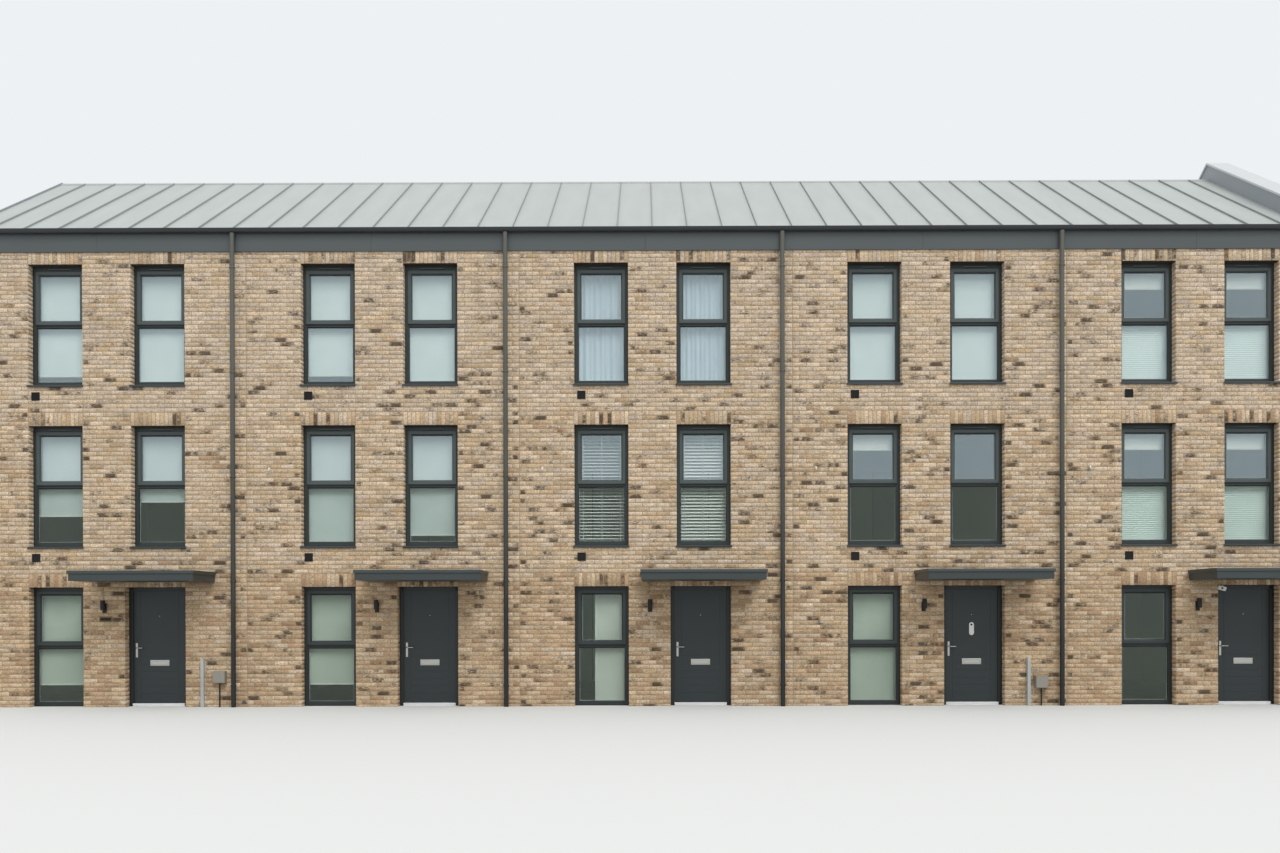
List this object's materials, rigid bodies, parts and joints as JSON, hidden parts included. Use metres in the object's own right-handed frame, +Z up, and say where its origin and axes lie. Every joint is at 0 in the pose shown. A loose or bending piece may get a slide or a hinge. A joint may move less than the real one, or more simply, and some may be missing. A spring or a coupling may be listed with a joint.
{
  "type": "terraced house row",
  "caption": "Row of three-storey brick terraced houses with full-height windows, flat door canopies and a standing-seam metal roof, with hinged front doors.",
  "frame": {"origin": "middle of the row's plan at paving level, on the underside of the middle house's ground floor", "axes": "+X along the row, to the right as seen from the street; -Y faces the street; +Z up"},
  "size_m": [23.54, 8.255, 10.6429],
  "materials": {
    "brick": "matte",
    "blockwork": "matte",
    "concrete_floor": "matte",
    "timber_floor": "satin",
    "plasterboard": "matte",
    "roof_sheet": "satin",
    "roof_seam": "satin",
    "verge_cladding": "satin",
    "verge_cap": "satin",
    "eaves_metal": "satin",
    "pipe_metal": "satin",
    "window_frame": "satin",
    "window_glass": "polished",
    "cill_metal": "satin",
    "roller_blind": "matte",
    "pleated_blind": "matte",
    "venetian_slats": "satin",
    "curtain_cloth": "matte",
    "door_frame": "satin",
    "door_leaf": "satin",
    "threshold_metal": "satin",
    "door_metal": "satin",
    "canopy_skin": "satin",
    "black_metal": "satin",
    "vent_plastic": "matte",
    "number_plate": "gloss",
    "meter_plastic": "matte",
    "cover_metal": "satin"
  },
  "bodies": {
    "house_row": {"ground_floor": "concrete_floor", "first_floor": "timber_floor", "second_floor": "timber_floor", "top_ceiling": "plasterboard", "front_wall_ground": "brick", "front_wall_upper": "brick", "rear_wall_ground": "brick", "rear_wall_upper": "brick", "left_end_wall": "brick", "party_walls": "blockwork", "right_gable_wall": "brick", "front_roof": "roof_sheet", "rear_roof": "roof_sheet", "front_roof_seams": "roof_seam", "rear_roof_seams": "roof_seam", "ridge_cap": "roof_sheet", "raised_verge": "verge_cladding", "verge_capping": "verge_cap", "left_verge_trim": "verge_cladding", "fascia_boards": "eaves_metal", "gutters": "eaves_metal", "downpipes": "pipe_metal", "pipe_clips": "pipe_metal", "window_frames": "window_frame", "window_sashes": "window_frame", "window_glass": "window_glass", "window_cills": "cill_metal", "roller_blinds": "roller_blind", "pleated_blinds": "pleated_blind", "venetian_blinds": "venetian_slats", "curtains": "curtain_cloth", "door_jambs": "door_frame", "door_heads": "door_frame", "door_thresholds": "threshold_metal", "rear_doors": "door_leaf", "canopies": "canopy_skin", "wall_lights": "black_metal", "wall_vents": "vent_plastic", "number_plate": "number_plate", "meter_boxes": "meter_plastic", "cable_covers": "cover_metal"},
    "door_1": {"front_door_1": "door_leaf", "door_furniture_1": "door_metal"},
    "door_2": {"front_door_2": "door_leaf", "door_furniture_2": "door_metal"},
    "door_3": {"front_door_3": "door_leaf", "door_furniture_3": "door_metal"},
    "door_4": {"front_door_4": "door_leaf", "door_furniture_4": "door_metal"},
    "door_5": {"front_door_5": "door_leaf", "door_furniture_5": "door_metal"}
  },
  "joints": [
    {"name": "door_1_hinge", "type": "hinge", "parent": "house_row", "child": "door_1", "pos_m": [-7.946, -3.303, 1.0312], "axis": [0, 0, -1], "range_deg": [0, 90]},
    {"name": "door_2_hinge", "type": "hinge", "parent": "house_row", "child": "door_2", "pos_m": [-3.256, -3.303, 1.0312], "axis": [0, 0, -1], "range_deg": [0, 90]},
    {"name": "door_3_hinge", "type": "hinge", "parent": "house_row", "child": "door_3", "pos_m": [1.434, -3.303, 1.0312], "axis": [0, 0, -1], "range_deg": [0, 90]},
    {"name": "door_4_hinge", "type": "hinge", "parent": "house_row", "child": "door_4", "pos_m": [6.124, -3.303, 1.0312], "axis": [0, 0, -1], "range_deg": [0, 90]},
    {"name": "door_5_hinge", "type": "hinge", "parent": "house_row", "child": "door_5", "pos_m": [10.814, -3.303, 1.0312], "axis": [0, 0, -1], "range_deg": [0, 90]}
  ]
}
